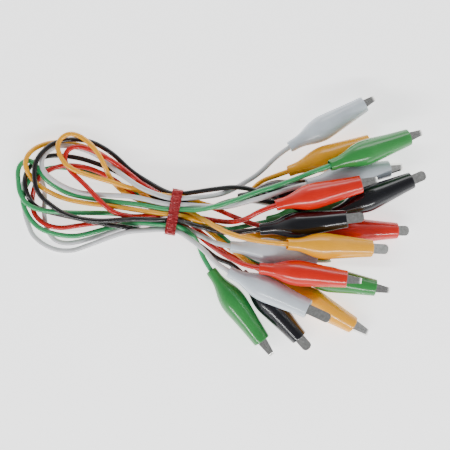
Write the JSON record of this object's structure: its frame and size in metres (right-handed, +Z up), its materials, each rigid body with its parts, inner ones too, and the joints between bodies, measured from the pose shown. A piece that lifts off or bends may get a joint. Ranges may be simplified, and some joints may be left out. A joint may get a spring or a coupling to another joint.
{
  "type": "alligator clip test lead set",
  "caption": "Folded set of insulated test leads with a booted alligator clip on each end, held by a crinkled twist tie; every clip opens.",
  "frame": {"origin": "on the table under the middle of the box of clips, boots and tie", "axes": "+Z up from the table, +X from the folded wires towards the clips, +Y across the bundle"},
  "size_m": [0.173, 0.11, 0.0288],
  "materials": {
    "boot_yellow": "glossy soft pvc",
    "wire_yellow": "glossy pvc insulation",
    "boot_black": "glossy soft pvc",
    "wire_black": "glossy pvc insulation",
    "boot_white": "glossy soft pvc",
    "wire_white": "glossy pvc insulation",
    "boot_green": "glossy soft pvc",
    "wire_green": "glossy pvc insulation",
    "boot_red": "glossy soft pvc",
    "wire_red": "glossy pvc insulation",
    "nickel": "bright nickel plate",
    "spring_steel": "bright drawn wire",
    "tie_foil": "crinkled glossy foil"
  },
  "bodies": {
    "leads": {"boot_yellow_1a": "boot_yellow", "boot_yellow_1b": "boot_yellow", "wire_yellow_1": "wire_yellow", "boot_yellow_2a": "boot_yellow", "boot_yellow_2b": "boot_yellow", "wire_yellow_2": "wire_yellow", "boot_black_1a": "boot_black", "boot_black_1b": "boot_black", "wire_black_1": "wire_black", "boot_black_2a": "boot_black", "boot_black_2b": "boot_black", "wire_black_2": "wire_black", "boot_white_1a": "boot_white", "boot_white_1b": "boot_white", "wire_white_1": "wire_white", "boot_white_2a": "boot_white", "boot_white_2b": "boot_white", "wire_white_2": "wire_white", "boot_green_1a": "boot_green", "boot_green_1b": "boot_green", "wire_green_1": "wire_green", "boot_green_2a": "boot_green", "boot_green_2b": "boot_green", "wire_green_2": "wire_green", "boot_red_1a": "boot_red", "boot_red_1b": "boot_red", "wire_red_1": "wire_red", "boot_red_2a": "boot_red", "boot_red_2b": "boot_red", "wire_red_2": "wire_red", "fixed_jaws_yellow": "nickel", "fixed_jaws_black": "nickel", "fixed_jaws_white": "nickel", "fixed_jaws_green": "nickel", "fixed_jaws_red": "nickel", "rivets": "nickel", "springs": "spring_steel", "twist_tie": "tie_foil"},
    "jaw_yellow_1a": {"moving_jaw_yellow_1a": "nickel"},
    "jaw_yellow_1b": {"moving_jaw_yellow_1b": "nickel"},
    "jaw_yellow_2a": {"moving_jaw_yellow_2a": "nickel"},
    "jaw_yellow_2b": {"moving_jaw_yellow_2b": "nickel"},
    "jaw_black_1a": {"moving_jaw_black_1a": "nickel"},
    "jaw_black_1b": {"moving_jaw_black_1b": "nickel"},
    "jaw_black_2a": {"moving_jaw_black_2a": "nickel"},
    "jaw_black_2b": {"moving_jaw_black_2b": "nickel"},
    "jaw_white_1a": {"moving_jaw_white_1a": "nickel"},
    "jaw_white_1b": {"moving_jaw_white_1b": "nickel"},
    "jaw_white_2a": {"moving_jaw_white_2a": "nickel"},
    "jaw_white_2b": {"moving_jaw_white_2b": "nickel"},
    "jaw_green_1a": {"moving_jaw_green_1a": "nickel"},
    "jaw_green_1b": {"moving_jaw_green_1b": "nickel"},
    "jaw_green_2a": {"moving_jaw_green_2a": "nickel"},
    "jaw_green_2b": {"moving_jaw_green_2b": "nickel"},
    "jaw_red_1a": {"moving_jaw_red_1a": "nickel"},
    "jaw_red_1b": {"moving_jaw_red_1b": "nickel"},
    "jaw_red_2a": {"moving_jaw_red_2a": "nickel"},
    "jaw_red_2b": {"moving_jaw_red_2b": "nickel"}
  },
  "joints": [
    {"name": "opens_yellow_1a", "type": "hinge", "parent": "leads", "child": "jaw_yellow_1a", "pos_m": [0.02417, 0.03271, 0.00508], "axis": [0.0493, 0.0175, 0.9986], "range_deg": [0, 20], "stiffness_Nm_per_rad": 0.05, "springref_deg": -17.19, "deforming": ["boot_yellow_1a", "springs"]},
    {"name": "opens_yellow_1b", "type": "hinge", "parent": "leads", "child": "jaw_yellow_1b", "pos_m": [0.02481, -0.00888, 0.01874], "axis": [-0.0523, -0.9986, 0], "range_deg": [0, 20], "stiffness_Nm_per_rad": 0.05, "springref_deg": -17.19, "deforming": ["boot_yellow_1b", "springs"]},
    {"name": "opens_yellow_2a", "type": "hinge", "parent": "leads", "child": "jaw_yellow_2a", "pos_m": [0.01139, -0.00889, 0.00508], "axis": [-0.0515, 0.0091, -0.9986], "range_deg": [0, 20], "stiffness_Nm_per_rad": 0.05, "springref_deg": -17.19, "deforming": ["boot_yellow_2a", "springs"]},
    {"name": "opens_yellow_2b", "type": "hinge", "parent": "leads", "child": "jaw_yellow_2b", "pos_m": [0.01892, -0.03841, 0.00538], "axis": [-0.3257, -0.1086, -0.9392], "range_deg": [0, 20], "stiffness_Nm_per_rad": 0.05, "springref_deg": -17.19, "deforming": ["boot_yellow_2b", "springs"]},
    {"name": "opens_black_1a", "type": "hinge", "parent": "leads", "child": "jaw_black_1a", "pos_m": [0.01442, 0.00227, 0.01916], "axis": [0.1219, -0.9925, 0], "range_deg": [0, 20], "stiffness_Nm_per_rad": 0.05, "springref_deg": -17.19, "deforming": ["boot_black_1a", "springs"]},
    {"name": "opens_black_1b", "type": "hinge", "parent": "leads", "child": "jaw_black_1b", "pos_m": [0.04181, 0.01636, 0.00896], "axis": [0.3907, -0.9205, 0], "range_deg": [0, 20], "stiffness_Nm_per_rad": 0.05, "springref_deg": -17.19, "deforming": ["boot_black_1b", "springs"]},
    {"name": "opens_black_2a", "type": "hinge", "parent": "leads", "child": "jaw_black_2a", "pos_m": [0.00427, 0.01594, 0.00441], "axis": [0.1289, 0.0204, 0.9914], "range_deg": [0, 20], "stiffness_Nm_per_rad": 0.05, "springref_deg": -17.19, "deforming": ["boot_black_2a", "springs"]},
    {"name": "opens_black_2b", "type": "hinge", "parent": "leads", "child": "jaw_black_2b", "pos_m": [-0.00344, -0.04105, 0.00508], "axis": [-0.749, -0.6626, 0], "range_deg": [0, 20], "stiffness_Nm_per_rad": 0.05, "springref_deg": -17.19, "deforming": ["boot_black_2b", "springs"]},
    {"name": "opens_white_1a", "type": "hinge", "parent": "leads", "child": "jaw_white_1a", "pos_m": [0.02141, 0.04702, 0.00515], "axis": [-0.0453, -0.0262, -0.9986], "range_deg": [0, 20], "stiffness_Nm_per_rad": 0.05, "springref_deg": -17.19, "deforming": ["boot_white_1a", "springs"]},
    {"name": "opens_white_1b", "type": "hinge", "parent": "leads", "child": "jaw_white_1b", "pos_m": [0.03199, 0.02281, 0.00708], "axis": [0.2788, -0.2095, 0.9372], "range_deg": [0, 20], "stiffness_Nm_per_rad": 0.05, "springref_deg": -17.19, "deforming": ["boot_white_1b", "springs"]},
    {"name": "opens_white_2a", "type": "hinge", "parent": "leads", "child": "jaw_white_2a", "pos_m": [0.00106, -0.01188, 0.01523], "axis": [0.1117, 0.2976, 0.9481], "range_deg": [0, 20], "stiffness_Nm_per_rad": 0.05, "springref_deg": -17.19, "deforming": ["boot_white_2a", "springs"]},
    {"name": "opens_white_2b", "type": "hinge", "parent": "leads", "child": "jaw_white_2b", "pos_m": [0.00149, -0.03267, 0.02059], "axis": [-0.4226, -0.9063, 0], "range_deg": [0, 20], "stiffness_Nm_per_rad": 0.05, "springref_deg": -17.19, "deforming": ["boot_white_2b", "springs"]},
    {"name": "opens_green_1a", "type": "hinge", "parent": "leads", "child": "jaw_green_1a", "pos_m": [0.04031, 0.03476, 0.01198], "axis": [-0.2273, -0.0827, -0.9703], "range_deg": [0, 20], "stiffness_Nm_per_rad": 0.05, "springref_deg": -17.19, "deforming": ["boot_green_1a", "springs"]},
    {"name": "opens_green_1b", "type": "hinge", "parent": "leads", "child": "jaw_green_1b", "pos_m": [0.01609, 0.00743, 0.00441], "axis": [-0.093, -0.195, -0.9764], "range_deg": [0, 20], "stiffness_Nm_per_rad": 0.05, "springref_deg": -17.19, "deforming": ["boot_green_1b", "springs"]},
    {"name": "opens_green_2a", "type": "hinge", "parent": "leads", "child": "jaw_green_2a", "pos_m": [-0.01773, -0.043, 0.005], "axis": [-0.0308, 0.0423, -0.9986], "range_deg": [0, 20], "stiffness_Nm_per_rad": 0.05, "springref_deg": -17.19, "deforming": ["boot_green_2a", "springs"]},
    {"name": "opens_green_2b", "type": "hinge", "parent": "leads", "child": "jaw_green_2b", "pos_m": [0.0258, -0.02433, 0.01172], "axis": [-0.0771, 0.0143, -0.9969], "range_deg": [0, 20], "stiffness_Nm_per_rad": 0.05, "springref_deg": -17.19, "deforming": ["boot_green_2b", "springs"]},
    {"name": "opens_red_1a", "type": "hinge", "parent": "leads", "child": "jaw_red_1a", "pos_m": [0.02045, 0.01589, 0.01969], "axis": [0.0003, -0.1789, -0.9839], "range_deg": [0, 20], "stiffness_Nm_per_rad": 0.05, "springref_deg": -17.19, "deforming": ["boot_red_1a", "springs"]},
    {"name": "opens_red_1b", "type": "hinge", "parent": "leads", "child": "jaw_red_1b", "pos_m": [0.03416, -0.00186, 0.0052], "axis": [0, -1, 0], "range_deg": [0, 20], "stiffness_Nm_per_rad": 0.05, "springref_deg": -17.19, "deforming": ["boot_red_1b", "springs"]},
    {"name": "opens_red_2a", "type": "hinge", "parent": "leads", "child": "jaw_red_2a", "pos_m": [0.00499, -0.01984, 0.00441], "axis": [-0.1618, -0.1431, -0.9764], "range_deg": [0, 20], "stiffness_Nm_per_rad": 0.05, "springref_deg": -17.19, "deforming": ["boot_red_2a", "springs"]},
    {"name": "opens_red_2b", "type": "hinge", "parent": "leads", "child": "jaw_red_2b", "pos_m": [0.01313, -0.02089, 0.02377], "axis": [0.0433, -0.0053, -0.999], "range_deg": [0, 20], "stiffness_Nm_per_rad": 0.05, "springref_deg": -17.19, "deforming": ["boot_red_2b", "springs"]}
  ]
}
